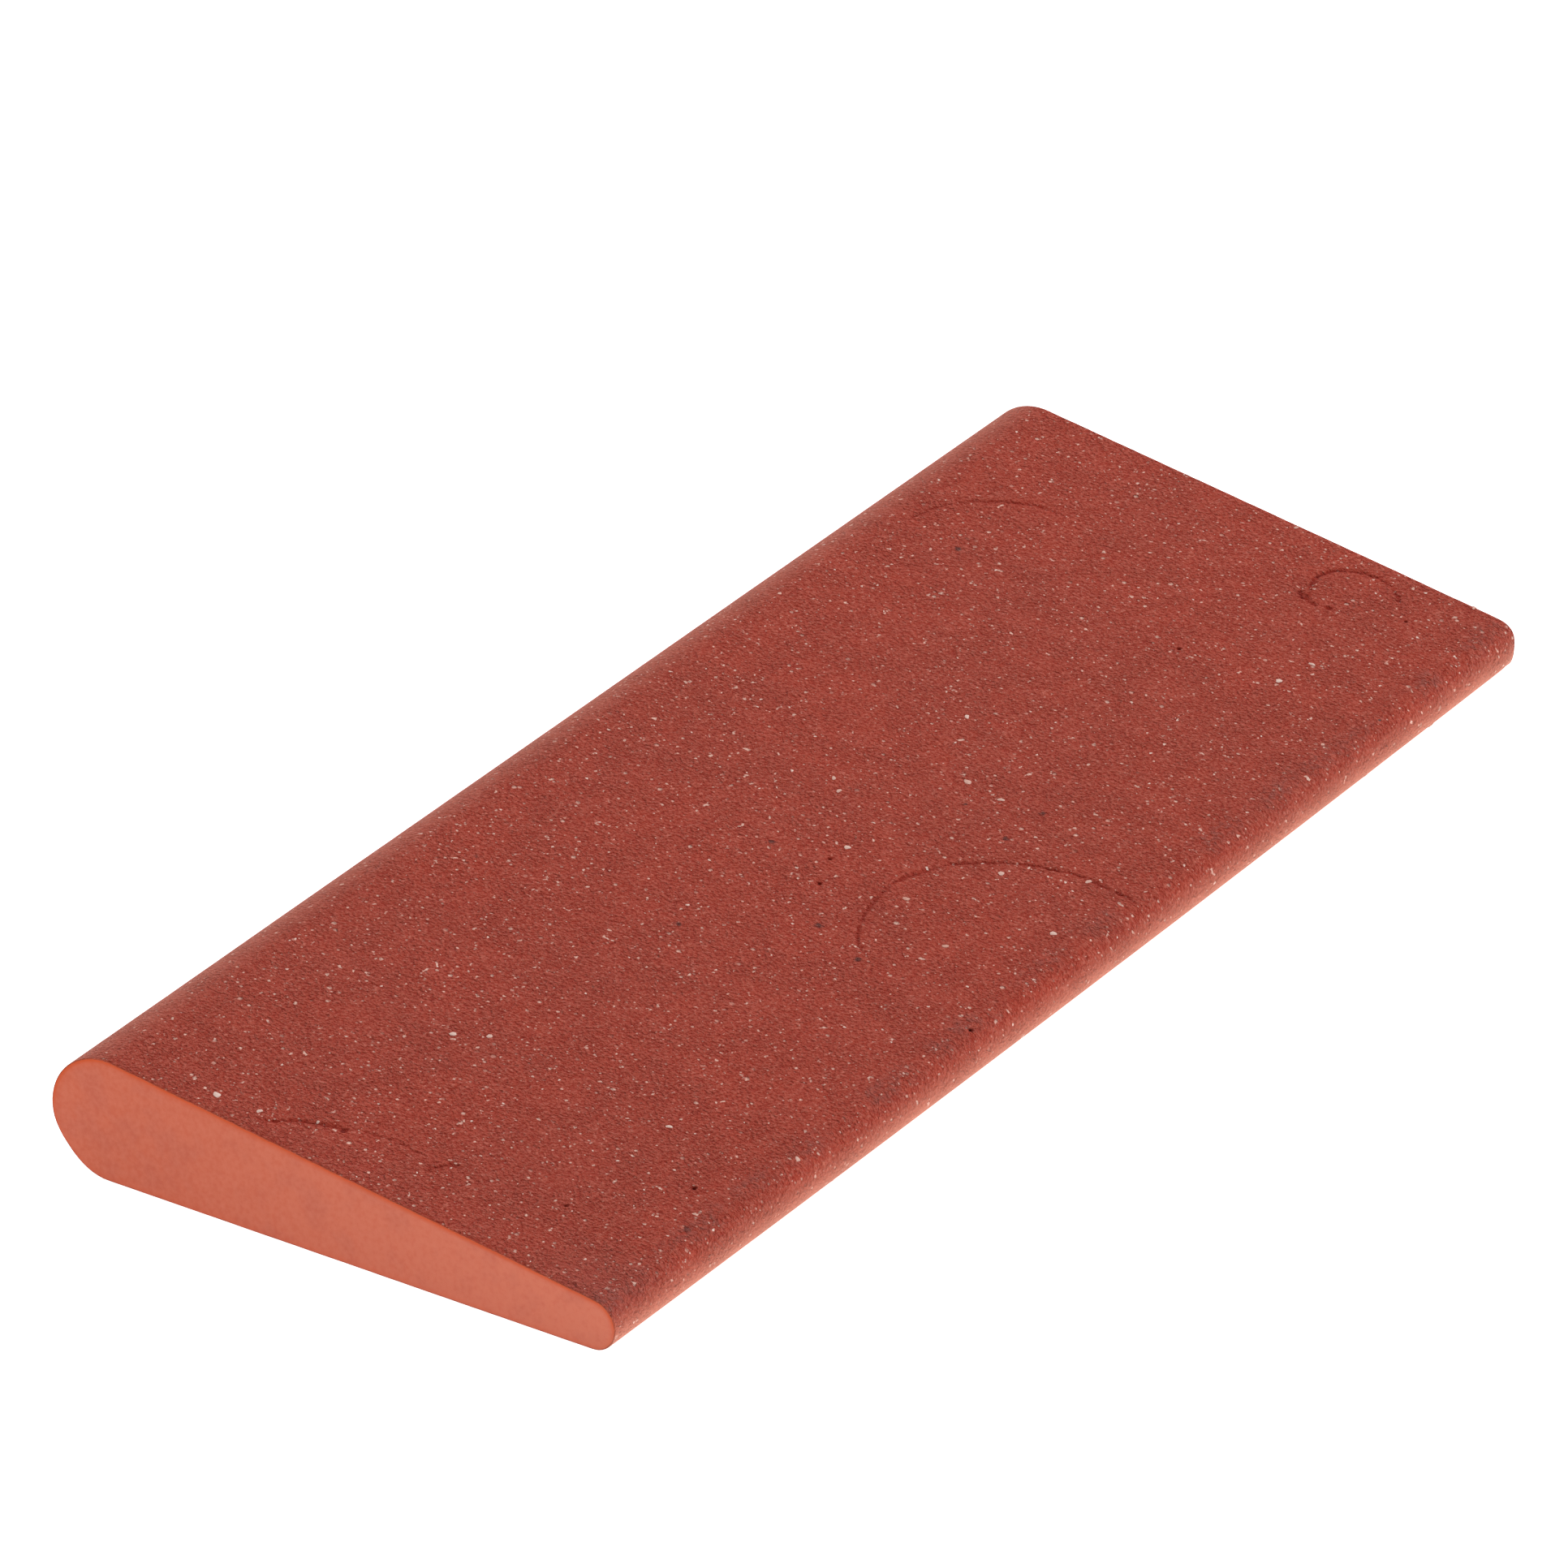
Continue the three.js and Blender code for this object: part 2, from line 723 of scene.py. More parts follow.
@dataclass(frozen=True)
class StoneBody:
    """The stone itself: one closed body, pressed, fired, sawn at both ends and worn.

    Attributes:
        section: The stone's driving sizes.
        finish: The material of its skin and its sawn ends.
        arris: The radius of the worn corner round each sawn end.
        skin: How far the body lies inside its full size, which leaves room for the grains that
            stand out of it.
        bow: How far the thin edge falls back towards its two ends.
        facet: How deep the lower half of the back is rubbed flat at the near end.
        far_corner: How far the far corner of the thin edge is rounded, on the plan.
        near_corner: How far its near corner is rounded.
        fresh_rim: How wide the orange rim is that wear leaves round a sawn end.
        cells_along: How many rows of faces the length has.
        cells_flat: How many each flat face has across it.
        cells_back: How many go round the thick back.
        cells_edge: How many go round the thin edge.
        cells_arris: How many go round the worn corner of an end.
        cells_end: How many rings each sawn end has.
        refinements: How often the faces near a mark are split in four.
    """

    section: Section
    finish: bpy.types.Material
    arris: float = 0.08 * MM
    skin: float = 0.02 * MM
    bow: float = 0.29 * MM
    facet: float = 0.17 * MM
    far_corner: float = 0.95 * MM
    near_corner: float = 0.6 * MM
    fresh_rim: float = 0.3 * MM
    cells_along: int = 200
    cells_flat: int = 68
    cells_back: int = 32
    cells_edge: int = 20
    cells_arris: int = 5
    cells_end: int = 8
    refinements: int = 3

    FACET_DIRECTION = math.radians(-42)  # which way the worn flat on the back faces
    FACET_SPREAD = math.radians(40)  # how far round the back it reaches, each way

    def _bar_tree(self) -> GeometryTree:
        """Builds the tree that makes the plain bar from the section's rule.

        A flat grid is wrapped round the stone. One way across the grid goes round the section:
        along the lower face, round the back, along the upper face and round the thin edge. The
        other way goes from the middle of the near end, over its arris, along the stone and over
        the far arris to the middle of the far end.

        Returns:
            The tree.
        """
        tree = GeometryTree("teardrop_bar")
        section = self.section
        length = tree.input("Length", section.length)
        width = tree.input("Width", section.width)
        back_radius = tree.input("Back Radius", section.back_radius - self.skin)
        edge_radius = tree.input("Edge Radius", section.edge_radius - self.skin)
        taper = tree.input("Taper", section.taper)
        lean = tree.input("End Lean", math.tan(section.lean))
        arris = tree.input("Arris", self.arris)
        skin = tree.input("Skin", self.skin)
        bow, facet = tree.input("Edge Bow", self.bow), tree.input("Back Facet", self.facet)
        far_corner = tree.input("Far Corner", self.far_corner)
        near_corner = tree.input("Near Corner", self.near_corner)
        fresh = tree.input("Fresh Rim", self.fresh_rim)
        material = tree.input("Material", self.finish)

        rounds = 2 * self.cells_flat + self.cells_back + self.cells_edge
        rows = self.cells_along + 2 * (self.cells_arris + self.cells_end)
        grid = {"Size X": float(rows), "Size Y": float(rounds)}
        grid |= {"Vertices X": rows + 1, "Vertices Y": rounds + 1}
        sheet = tree.call("GeometryNodeMeshGrid", grid)
        across_sheet, around_sheet, _ = tree.parts(tree.place())
        row = across_sheet + rows / 2
        turn = around_sheet + rounds / 2

        # Round the section: shares of the lower face, the back, the upper face and the edge.
        stops = np.cumsum([0, self.cells_flat, self.cells_back, self.cells_flat, self.cells_edge])
        lower, back, upper, edge = (
            tree.ramp(turn, float(a), float(b)) for a, b in zip(stops, stops[1:])
        )
        facing = back * (taper + HALF_TURN) + edge * (HALF_TURN - taper) - QUARTER_TURN
        towards_back = lower - upper
        inner_edge_y = edge_radius + skin - width * 0.5
        inner_back_y = width * 0.5 - back_radius - skin
        centre_y = inner_edge_y + towards_back * (inner_back_y - inner_edge_y)
        radius = edge_radius + towards_back * (back_radius - edge_radius)
        centre_z = radius + skin

        # Along the stone: the near end, its arris, the length, the far arris and the far end.
        steps = [0, self.cells_end, self.cells_arris, self.cells_along, self.cells_arris]
        marks = np.cumsum(steps + [self.cells_end])
        near_end, near_arris, along, far_arris, far_end = (
            tree.ramp(row, float(a), float(b)) for a, b in zip(marks, marks[1:])
        )
        near_turn, far_turn = near_arris * QUARTER_TURN, far_arris * QUARTER_TURN
        inset = arris * ((1.0 - near_turn.sin()) + (1.0 - far_turn.cos()))
        straight = length - (arris + skin) * 2.0
        x = (
            (skin - length * 0.5)
            + arris * (1.0 - near_turn.cos())
            + along * straight
            + arris * far_turn.sin()
        )
        from_middle = 1.0 - (1.0 - near_end) ** 2.0 - far_end ** 2.0
        out = (radius - inset) * from_middle
        y = centre_y + out * facing.cos()
        z = centre_z + out * facing.sin()
        x = x - along * lean * (width * 0.5 - y)

        # Wear: the thin edge bows, the back has a flat, and the thin edge's corners are rounded,
        # the far one more under the edge than over it.
        thin_side = tree.ramp(y, width * -0.25, width * -0.5)
        y = y + thin_side * bow * (x / (length * 0.5)) ** 2.0
        aside = abs(facing - self.FACET_DIRECTION)
        rubbed = tree.ramp(aside, self.FACET_SPREAD, 0.0, soft=True) * towards_back * from_middle
        rubbed = rubbed * facet * tree.ramp(x, length * -0.5, length * -0.3, to=(1.0, 0.0))
        y = y - rubbed * facing.cos()
        z = z - rubbed * facing.sin()
        under = tree.ramp(facing.sin(), 1.0, -1.0, to=(0.8, 1.3))
        for side, reach, end in (
            (1.0, far_corner * under, length * 0.5 - lean * width),
            (-1.0, near_corner, length * 0.5),
        ):
            past_x = (reach - (end - x * side)).most(MERGE_DISTANCE)
            past_y = (reach - (y + width * 0.5)).most(MERGE_DISTANCE)
            pulled = 1.0 - past_x.most(past_y) / (past_x ** 2.0 + past_y ** 2.0) ** 0.5
            x = x - past_x * pulled * side
            y = y + past_y * pulled

        # The marks are stored on the flat sheet, because the rule reads its places.
        sawn = (1.0 - near_arris) + far_arris
        marked = tree.store(sheet, SAWN, sawn ** 2.0)
        from_rim = (radius - inset) * (1.0 - from_middle)
        upper_half = tree.ramp(facing.sin(), -0.4, 0.4)
        rim = tree.ramp(from_rim, fresh, fresh * 0.2) * sawn * (upper_half * 0.7 + 0.3)
        marked = tree.store(marked, ARRIS, rim)
        wrapped = tree.call(
            "GeometryNodeSetPosition", {"Geometry": marked, "Position": tree.vector(x, y, z)}
        )
        closed = tree.call(
            "GeometryNodeMergeByDistance", {"Geometry": wrapped, "Distance": MERGE_DISTANCE}
        )
        tree.finish(tree.call("GeometryNodeFlipFaces", {"Mesh": closed}), material)
        return tree

    def _relief_tree(self) -> GeometryTree:
        """Builds the tree that presses the marks into the bar and wears its corners.

        Every change goes inwards, so the stone stays inside its own sizes.

        Returns:
            The tree.
        """
        tree = GeometryTree("skin_relief")
        waviness = tree.input("Waviness", 0.03 * MM)
        nibble = tree.input("Arris Nibble", 0.05 * MM)
        full = tree.input("Full Hollow", 0.13 * MM)
        material = tree.input("Material", self.finish)

        ring_mark, pit = ring_mark_rule(), pit_rule()
        hollow = tree.math("ADD", 0.0, 0.0)
        for mark in RING_MARKS:
            hollow = hollow.most(
                tree.group(
                    ring_mark,
                    Centre_X=mark.x * MM,
                    Centre_Y=mark.y * MM,
                    Radius=mark.radius * MM,
                    Start=math.radians(mark.start),
                    Sweep=math.radians(mark.sweep),
                    Half_Width=mark.half_width * MM,
                    Depth=mark.depth * MM,
                    Missing=mark.trace.value,
                )
            )
        for hole in PITS:
            x, y, z = self.section.top(hole.x * MM, hole.y * MM)
            hollow = hollow.most(
                tree.group(
                    pit,
                    Centre_X=x,
                    Centre_Y=y,
                    Centre_Z=z,
                    Radius=hole.radius * MM,
                    Depth=hole.depth * MM,
                )
            )
        place = tree.place()
        waves = tree.noise(place, 13 * MM, 1.0) * 0.7 + tree.noise(place, 2.6 * MM, 1.0) * 0.3
        bitten = tree.ramp(tree.noise(place, 0.9 * MM, 2.0, shift=0.5), 0.42, 0.7, soft=True)
        inwards = waves * waviness + bitten * nibble * tree.attribute(ARRIS) + hollow
        start = tree.out(tree.entry, "Geometry")
        noted = tree.store(start, HOLLOW, tree.ramp(hollow, 0.0, full))
        moved = tree.call(
            "GeometryNodeSetPosition",
            {"Geometry": noted, "Offset": tree.scaled(tree.normal(), inwards * -1.0)},
        )
        tree.finish(moved, material)
        return tree

    def _refine(self, mesh: bpy.types.Mesh) -> None:
        """Splits the faces near each mark and pit, so that a hairline has its own faces.

        Args:
            mesh: The plain bar, which is changed.
        """
        shape = bmesh.new()
        shape.from_mesh(mesh)
        cell = self.section.length / self.cells_along
        for step in range(self.refinements):
            shape.faces.ensure_lookup_table()
            centres = np.array([face.calc_center_median() for face in shape.faces])
            upward = np.array([face.normal.z for face in shape.faces]) > 0.3
            margin = cell / 2**step
            near = np.zeros(len(centres), bool)
            for mark in RING_MARKS:
                near |= mark.near(centres, (0.36 + mark.half_width) * MM + 0.5 * margin) & upward
            for hole in PITS:
                middle = self.section.top(hole.x * MM, hole.y * MM)
                off = np.linalg.norm(centres - np.array(middle), axis=1)
                near |= off < 1.4 * hole.radius * MM + margin
            edges = {edge for index in np.flatnonzero(near) for edge in shape.faces[index].edges}
            bmesh.ops.subdivide_edges(
                shape, edges=list(edges), cuts=1, use_grid_fill=True, use_only_quads=False
            )
        bmesh.ops.triangulate(shape, faces=[face for face in shape.faces if len(face.verts) > 4])
        shape.to_mesh(mesh)
        shape.free()

    def build(self) -> bpy.types.Object:
        """Makes the stone.

        Returns:
            The finished object.
        """
        bar = self._bar_tree().run("plain_bar")
        self._refine(bar)
        mesh = self._relief_tree().run("honing_stone", bar)
        return place_piece("honing_stone", mesh, replaces=STONE_NODE)


# ---- Grit in the skin ----


@dataclass(frozen=True)
class Grit:
    """Grains that show in the skin, each a flat pebble sunk to just above the surface.

    Attributes:
        name: The piece's name.
        surface: The stone that the grains sit in.
        section: The stone's driving sizes.
        finish: The grains' material.
        per_square_mm: How many there are on each square millimetre of skin.
        smallest: The smallest grain's radius.
        largest: The largest scattered grain's radius.
        seed: Fixes where the grains are.
        placed: Plan places of the largest grains, in millimetres.
    """

    name: str
    surface: bpy.types.Object
    section: Section
    finish: bpy.types.Material
    per_square_mm: float
    smallest: float
    largest: float
    seed: int
    placed: Iterable[tuple[float, float]] = ()

    FLATNESS = 0.16  # a grain's thickness as a share of its width
    SUNK = 0.75  # how far its middle lies under the skin, as a share of its thickness
    PLACED_SCALE = 0.9  # the smallest placed grain, as a share of the largest scattered one

    def _pebble(self, tree: GeometryTree) -> Field:
        """A round pebble of radius 1, with an uneven outline.

        Args:
            tree: The tree that it is made in.

        Returns:
            Its geometry.
        """
        ball = tree.call("GeometryNodeMeshIcoSphere", {"Radius": 1.0, "Subdivisions": 1})
        place = tree.place()
        lumps = (tree.noise(place, 0.8, 1.0, shift=float(self.seed)) - 0.5) * 1.3
        offset = tree.scaled(place, lumps)
        return tree.call("GeometryNodeSetPosition", {"Geometry": ball, "Offset": offset})

    def _sown(self, tree: GeometryTree, points: Field, turn: Field, radius: Field) -> Field:
        """Puts a pebble on each point, flat on the surface and turned at random.

        Args:
            tree: The tree that it is made in.
            points: Where the grains are.
            turn: The rotation that stands a grain on the surface.
            radius: Each grain's radius.

        Returns:
            The instances.
        """
        spin = tree.vector(0.0, 0.0, tree.random(0.0, 2 * math.pi, self.seed + 1))
        spun = tree.call(
            "FunctionNodeRotateRotation",
            {0: turn, 1: tree.call("FunctionNodeEulerToRotation", {0: spin})},
            rotation_space="LOCAL",
        )
        longer = radius * tree.random(0.7, 1.5, self.seed + 2)
        thick = radius * self.FLATNESS
        grains = tree.node("GeometryNodeInstanceOnPoints")
        tree.feed(grains.inputs["Points"], points)
        tree.feed(grains.inputs["Instance"], self._pebble(tree))
        tree.feed(grains.inputs["Rotation"], spun)
        tree.feed(grains.inputs["Scale"], tree.vector(longer, radius, thick))
        toned = tree.store(
            tree.out(grains), TONE, tree.random(0.0, 1.0, self.seed + 3), domain="INSTANCE"
        )
        down = tree.vector(0.0, 0.0, thick * -self.SUNK)
        return tree.call(
            "GeometryNodeTranslateInstances", {0: toned, "Translation": down, "Local Space": False}
        )

    def _tree(self, chosen: bpy.types.Object) -> GeometryTree:
        """Builds the tree that sows the grains.

        Args:
            chosen: An object whose points are the placed grains.

        Returns:
            The tree.
        """
        tree = GeometryTree(f"{self.name}_sown")
        surface = tree.input("Surface", self.surface)
        density = tree.input("Density", self.per_square_mm / MM**2)
        smallest = tree.input("Smallest", self.smallest)
        largest = tree.input("Largest", self.largest)
        picked = tree.input("Placed", chosen)
        material = tree.input("Material", self.finish)

        skin = tree.call("GeometryNodeObjectInfo", {"Object": surface}, "Geometry")
        scatter = tree.node("GeometryNodeDistributePointsOnFaces", distribute_method="RANDOM")
        tree.feed(scatter.inputs["Mesh"], skin)
        level = tree.ramp(abs(tree.parts(tree.normal())[2]), 0.5, 0.95, to=(0.15, 1.0))
        tree.feed(scatter.inputs["Density"], density * level * (1.0 - tree.attribute(SAWN)))
        tree.feed(scatter.inputs["Seed"], self.seed)
        chance = tree.random(0.0, 1.0, self.seed + 4) ** 3.0
        radius = smallest + (largest - smallest) * chance
        places, upright = tree.out(scatter, "Points"), tree.out(scatter, "Rotation")
        scattered = self._sown(tree, places, upright, radius)

        spots = tree.call("GeometryNodeObjectInfo", {"Object": picked}, "Geometry")
        points = tree.call("GeometryNodeMeshToPoints", {"Mesh": spots})
        slope = tree.call(
            "FunctionNodeEulerToRotation", {0: tree.vector(self.section.taper, 0.0, 0.0)}
        )
        big = largest * tree.random(self.PLACED_SCALE, 1.2, self.seed + 5)
        placed = self._sown(tree, points, slope, big)
        joined = tree.node("GeometryNodeJoinGeometry")
        tree.feed(joined.inputs[0], placed)
        tree.feed(joined.inputs[0], scattered)
        loose = tree.call("GeometryNodeRealizeInstances", {"Geometry": tree.out(joined)})
        low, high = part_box(STONE_NODE)
        inside = tree.vector_math("MAXIMUM", tree.place(), tuple(low))
        inside = tree.vector_math("MINIMUM", inside, tuple(high))
        held = tree.call("GeometryNodeSetPosition", {"Geometry": loose, "Position": inside})
        tree.finish(held, material, smooth=False)
        return tree

    def build(self) -> bpy.types.Object:
        """Makes the grains.

        Returns:
            The finished object.
        """
        spots = bpy.data.meshes.new("placed_grains")
        places = [self.section.top(x * MM, y * MM) for x, y in self.placed]
        spots.from_pydata(places, [], [])
        chosen = bpy.data.objects.new("placed_grains", spots)
        mesh = self._tree(chosen).run(self.name)
        bpy.data.objects.remove(chosen)
        return place_piece(self.name, mesh)


# ---- Finishes ----


def new_material(name: str) -> tuple[bpy.types.Material, Graph, bpy.types.Node]:
    """Starts a material.

    Args:
        name: The material's name.

    Returns:
        The material, its graph and its surface shader.
    """
    material = bpy.data.materials.new(name)
    material.use_nodes = True
    graph = Graph(material.node_tree)
    return material, graph, material.node_tree.nodes["Principled BSDF"]


@dataclass(frozen=True)
class PoreLayer:
    """Pores of about one size in the skin, too small to be shaped in the mesh.

    Attributes:
        spacing: About how far apart they are.
        smallest: The smallest one's radius.
        largest: The largest one's radius.
        share: How many of the places have a pore.
        pale: How many of those have a pale grain in them.
        steepness: A pore's depth as a share of its radius.
    """

    spacing: float
    smallest: float
    largest: float
    share: float
    pale: float
    steepness: float


PORE_LAYERS = (
    PoreLayer(0.32 * MM, 0.06 * MM, 0.14 * MM, share=0.8, pale=0.4, steepness=0.55),
    PoreLayer(0.65 * MM, 0.1 * MM, 0.19 * MM, share=0.5, pale=0.5, steepness=0.5),
    PoreLayer(1.3 * MM, 0.1 * MM, 0.22 * MM, share=0.4, pale=0.8, steepness=0.45),
)


@dataclass(frozen=True)
class FiredStone:
    """The stone's skin, and the paler face that the saw leaves on its ends.

    Attributes:
        section: The stone's driving sizes, which place the scuffs.
        red: The skin's brick red.
        dusk: The duller red that clouds it.
        deep: Painted shade, a deep red put in the hollows between granules and in the marks, where
            shade falls.
        pit: Painted shade, the near-black red painted at the bottom of the deepest pits and
            grooves.
        pink_fleck_and_highlight: The pink of the small pink flecks and of the grains in the pores,
            also painted on the crests of the granules as a painted highlight.
        fleck: The pale flecks that are too small to stand out.
        iron: The stain of an iron spot.
        grey: The scuffs along the thin edge.
        rubbed: Painted light, a paler pink on the rounded sides that stands in for bounce light
            from the table low on the thin edge and for a sheen along the thick back.
        sawn: The sawn ends.
        ash: The grey-violet clouds on the sawn ends.
        pith: The paler mottling of the sawn ends.
        corner: The fresh orange of a worn corner.
        relief: How deep the fine matt texture between the pores is.
    """

    section: Section
    red: Colour = (0.505, 0.071, 0.0415)
    dusk: Colour = (0.468, 0.074, 0.0455)
    deep: Colour = (0.34, 0.018, 0.008)
    pit: Colour = (0.12, 0.01, 0.008)
    pink_fleck_and_highlight: Colour = (0.72, 0.2, 0.14)
    fleck: Colour = (1.0, 0.6, 0.49)
    iron: Colour = (0.06, 0.028, 0.026)
    grey: Colour = (0.42, 0.12, 0.095)
    rubbed: Colour = (0.67, 0.29, 0.2)
    sawn: Colour = (0.56, 0.132, 0.074)
    ash: Colour = (0.47, 0.12, 0.08)
    pith: Colour = (0.64, 0.19, 0.12)
    corner: Colour = (0.58, 0.08, 0.02)
    relief: float = 0.3 * MM

    CLOUDS = 9 * MM  # how large the duller clouds are
    PATCHES = 2.4 * MM  # how large the rougher and smoother patches are
    MATT = 0.22 * MM  # how large the granules are
    FINE = 0.3 * MM  # how large the pink flecks are
    COARSE = 0.4 * MM  # how large the pale flecks are
    WARP = 0.12 * MM  # how far, and how finely, the pores' outlines are bent
    SAW_RELIEF = 0.01 * MM  # how deep the texture of a sawn end is

    def _pores(self, graph: Graph, place: Field, layer: PoreLayer) -> tuple[Field, Field, Field]:
        """One size of pore, a shallow bowl with a broken grain at its bottom.

        Args:
            graph: The material's graph.
            place: The point on the stone.
            layer: The pores' size and number.

        Returns:
            How deep the point lies in a pore, in metres, 1 on a pore's floor, and how pale the
            grain in that pore is.
        """
        off, own = graph.cells(place, layer.spacing)
        chance = graph.math("FRACT", own * 7.3)
        radius = layer.smallest + (layer.largest - layer.smallest) * chance ** 2.0
        present = own.above(1 - layer.share)
        reach = off / radius
        bowl = (1.0 - reach ** 2.0).most(0.0) * present
        floor = graph.ramp(reach, 0.95, 0.55) * present
        pale = graph.ramp(graph.math("FRACT", own * 23.7), 1.0 - layer.pale, 1.0)
        return bowl * radius * layer.steepness, floor, pale

    def _skin(self, graph: Graph, place: Field) -> tuple[Field, Field]:
        """The skin before its stains and marks.

        Args:
            graph: The material's graph.
            place: The point on the stone.

        Returns:
            Its colour, and how high it stands, in metres.
        """
        clouds = graph.ramp(graph.noise(place, self.CLOUDS, 3.0), 0.38, 0.66, soft=True)
        colour = graph.blend(clouds * 0.5, self.red, self.dusk)
        patches = graph.noise(place, self.PATCHES, 2.0, shift=0.4)
        rougher = graph.ramp(patches, 0.35, 0.65, to=(0.75, 1.25))
        matt = graph.noise(place, self.MATT, 2.0, rough=0.6)
        # Painted highlight: pink on the crests of the granule texture.
        colour = graph.blend(graph.ramp(matt, 0.5, 0.7) * 0.4, colour, self.pink_fleck_and_highlight)
        # Painted shade: the low parts of the granule texture, between the granules, are darkened to
        # the deep red.
        colour = graph.blend(graph.ramp(matt, 0.5, 0.3) * 0.65, colour, self.deep)
        height = matt * rougher * self.relief
        fine = graph.noise(place, self.FINE, 1.5, shift=0.15)
        coarse = graph.noise(place, self.COARSE, 1.5, shift=0.55)
        colour = graph.blend(graph.ramp(fine, 0.62, 0.72) * 0.6, colour, self.pink_fleck_and_highlight)
        colour = graph.blend(graph.ramp(coarse, 0.69, 0.75) * 0.95, colour, self.fleck)
        warp = graph.call(
            "ShaderNodeTexNoise", {"Vector": place, "Scale": 1 / self.WARP, "Detail": 1.0}, "Color"
        )
        warped = graph.vector_math("ADD", place, graph.scaled(warp, self.WARP))
        for layer in PORE_LAYERS:
            depth, floor, pale = self._pores(graph, warped, layer)
            tint = graph.blend(pale, self.pink_fleck_and_highlight, self.fleck)
            colour = graph.blend(floor * (pale * 0.85 + 0.12), colour, tint)
            height = height - depth
        return colour, height

    def _stains(self, graph: Graph, place: Field, colour: Field) -> Field:
        """Adds the iron spots, placed and scattered.

        Args:
            graph: The material's graph.
            place: The point on the stone.
            colour: The skin's colour.

        Returns:
            The stained colour.
        """
        fray = (graph.noise(place, 0.22 * MM, 2.0, shift=0.2) - 0.5) * (0.5 * MM)
        off, own = graph.cells(place, 5.5 * MM)
        stain = graph.ramp(off + fray, 0.3 * MM, 0.08 * MM, soft=True) * own.above(0.8)
        for spot in IRON_SPOTS:
            centre = self.section.top(spot.x * MM, spot.y * MM)
            near = graph.distance(place, tuple(centre)) + fray
            stain = stain.most(
                graph.ramp(near, spot.radius * MM, 0.25 * spot.radius * MM, soft=True)
            )
        return graph.blend(stain * 0.75, colour, self.iron)

    def _scuffs(self, graph: Graph, place: Field) -> Field:
        """How rubbed and grey the skin is: along the thin edge, and at its near corner.

        Args:
            graph: The material's graph.
            place: The point on the stone.

        Returns:
            The scuffing, from 0 to 1.
        """
        _, y, z = graph.parts(place)
        crest = self.section.edge_y - 0.3 * MM
        band = graph.ramp(abs(y - crest), 1.3 * MM, 0.2 * MM, soft=True)
        upper = graph.ramp(z, 2.0 * MM, 2.9 * MM)
        patchy = graph.ramp(graph.noise(place, 5 * MM, 3.0, shift=0.6), 0.4, 0.62, soft=True)
        patchy = patchy * graph.ramp(graph.noise(place, 0.4 * MM, 2.0, shift=0.1), 0.4, 0.6)
        corner = self.section.top(-0.49 * self.section.length, -0.45 * self.section.width)
        haze = graph.ramp(graph.distance(place, tuple(corner)), 6 * MM, 0.5 * MM, soft=True)
        return band * upper * patchy + haze * 0.5 * upper

    def _painted_side_light(self, graph: Graph, place: Field) -> Field:
        """How much painted light the two rounded sides get: painted bounce light from the table,
        most low on the thin edge, and a painted sheen along the thick back.

        Args:
            graph: The material's graph.
            place: The point on the stone.

        Returns:
            0 on the flat faces, a third on the thick back, and most low on the thin edge.
        """
        _, across, up = graph.parts(place)
        thin, thick = self.section.edge_radius, self.section.back_radius
        edge_y, back_y = self.section.edge_y, self.section.back_y
        outer = graph.ramp(across, edge_y - 0.2 * thin, edge_y - 0.6 * thin)
        # Painted bounce light: the lower the thin edge comes towards the table, the paler it is
        # painted.
        edge = graph.ramp(up, 1.6 * thin, 0.5 * thin) * outer * 0.75
        # Painted sheen along the thick back.
        back = graph.ramp(across, back_y - 0.1 * thick, back_y + 0.5 * thick) * 0.33
        return edge + back

    def build(self) -> bpy.types.Material:
        """Makes the material.

        Returns:
            The material.
        """
        material, graph, surface = new_material("fired_stone")
        place = graph.out(graph.node("ShaderNodeTexCoord"), "Object")
        sawn, arris, hollow = (
            graph.out(graph.node("ShaderNodeAttribute", attribute_name=name), "Fac")
            for name in (SAWN, ARRIS, HOLLOW)
        )
        skin, height = self._skin(graph, place)
        scuffs, rim = self._scuffs(graph, place), self._painted_side_light(graph, place)
        skin = self._stains(graph, place, skin)
        skin = graph.blend(scuffs * 0.5, skin, self.grey)
        # Painted light: the rounded sides turn paler pink, as painted bounce light from the table
        # low on the thin edge and a painted sheen on the thick back.
        skin = graph.blend(rim, skin, self.rubbed)
        # Painted shade: the grooves and pits are darkened to the deep red.
        skin = graph.blend(hollow * 0.9, skin, self.deep)
        # Painted shade: the bottoms of the deepest pits and grooves go nearly black.
        skin = graph.blend(graph.ramp(hollow, 0.8, 1.0) * 0.85, skin, self.pit)

        clouds = graph.ramp(graph.noise(place, 2.6 * MM, 3.0, shift=0.8), 0.45, 0.7, soft=True)
        width = self.section.width
        thin_side = graph.ramp(graph.parts(place)[1], 0.35 * width, -0.5 * width)
        face = graph.blend(thin_side * 0.7, self.sawn, self.pith)
        face = graph.blend(clouds * 0.4, face, self.ash)
        mottle = graph.noise(place, 0.35 * MM, 3.0, shift=0.35, rough=0.65)
        face = graph.blend(graph.ramp(mottle, 0.4, 0.7) * 0.35, face, self.pith)
        face = graph.blend(graph.ramp(mottle, 0.48, 0.28) * 0.16, face, self.red)
        colour = graph.blend(sawn, skin, face)
        colour = graph.blend(arris * 0.85, colour, self.corner)
        graph.feed(surface.inputs["Base Color"], colour)

